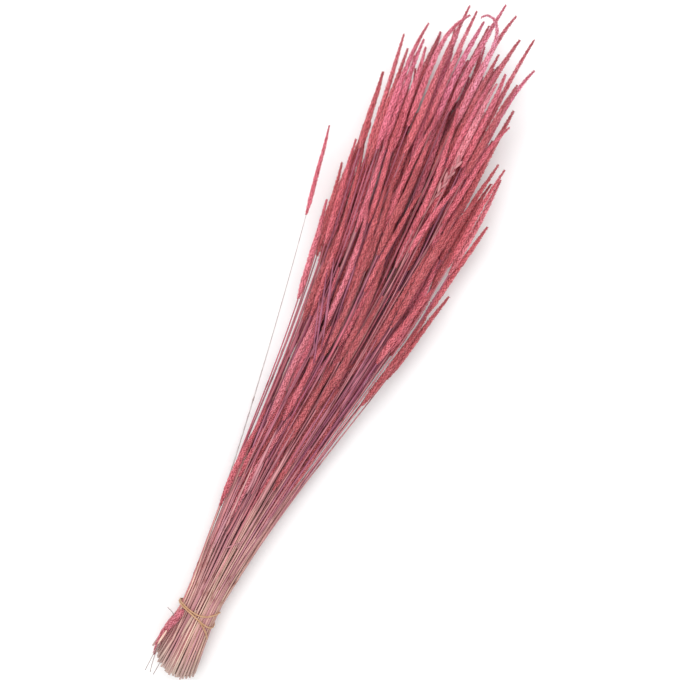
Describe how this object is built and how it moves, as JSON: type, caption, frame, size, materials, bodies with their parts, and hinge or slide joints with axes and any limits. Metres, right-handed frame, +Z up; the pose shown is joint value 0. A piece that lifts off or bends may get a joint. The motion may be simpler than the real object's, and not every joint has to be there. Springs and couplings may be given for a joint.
{
  "type": "tied bunch of dried timothy grass",
  "caption": "Bunch of dried timothy grass dyed pink: slender spiky seed heads fan out from stems held by a rubber band. It lies on its side, for floral decoration.",
  "frame": {"origin": "on the surface the bunch lies on, under the middle of its box", "axes": "+X along the bunch from the cut ends to the seed heads, +Z up from the surface, +Y across the bunch"},
  "size_m": [0.6999, 0.177, 0.0702],
  "materials": {
    "dyed_grass": "dry matt plant fibre, dyed dusky pink",
    "rubber_band": "satin natural rubber"
  },
  "bodies": {
    "root": {"stalks_01": "dyed_grass", "stalks_02": "dyed_grass", "stalks_03": "dyed_grass", "stalks_04": "dyed_grass", "stalks_05": "dyed_grass", "stalks_06": "dyed_grass", "stalks_07": "dyed_grass", "stalks_08": "dyed_grass", "stalks_09": "dyed_grass", "stalks_10": "dyed_grass", "stalks_11": "dyed_grass", "stalks_12": "dyed_grass", "stalks_13": "dyed_grass", "stalks_14": "dyed_grass", "stalks_15": "dyed_grass", "stalks_16": "dyed_grass", "stalks_17": "dyed_grass", "stalks_18": "dyed_grass", "stalks_19": "dyed_grass", "stalks_20": "dyed_grass", "stalks_21": "dyed_grass", "stalks_22": "dyed_grass", "stalks_23": "dyed_grass", "stalks_24": "dyed_grass", "stalks_25": "dyed_grass", "stalks_26": "dyed_grass", "stalks_27": "dyed_grass", "stalks_28": "dyed_grass", "stalks_29": "dyed_grass", "stalks_30": "dyed_grass", "stalks_31": "dyed_grass", "stalks_32": "dyed_grass", "stalks_33": "dyed_grass", "stalks_34": "dyed_grass", "stalks_35": "dyed_grass", "stalks_36": "dyed_grass", "stalks_37": "dyed_grass", "stalks_38": "dyed_grass", "stalks_39": "dyed_grass", "stalks_40": "dyed_grass", "stalks_41": "dyed_grass", "stalks_42": "dyed_grass", "stalks_43": "dyed_grass", "stalks_44": "dyed_grass", "stalks_45": "dyed_grass", "stalks_46": "dyed_grass", "stalks_47": "dyed_grass", "stalks_48": "dyed_grass", "stalks_49": "dyed_grass", "stalks_50": "dyed_grass", "rubber_band": "rubber_band"}
  },
  "joints": []
}
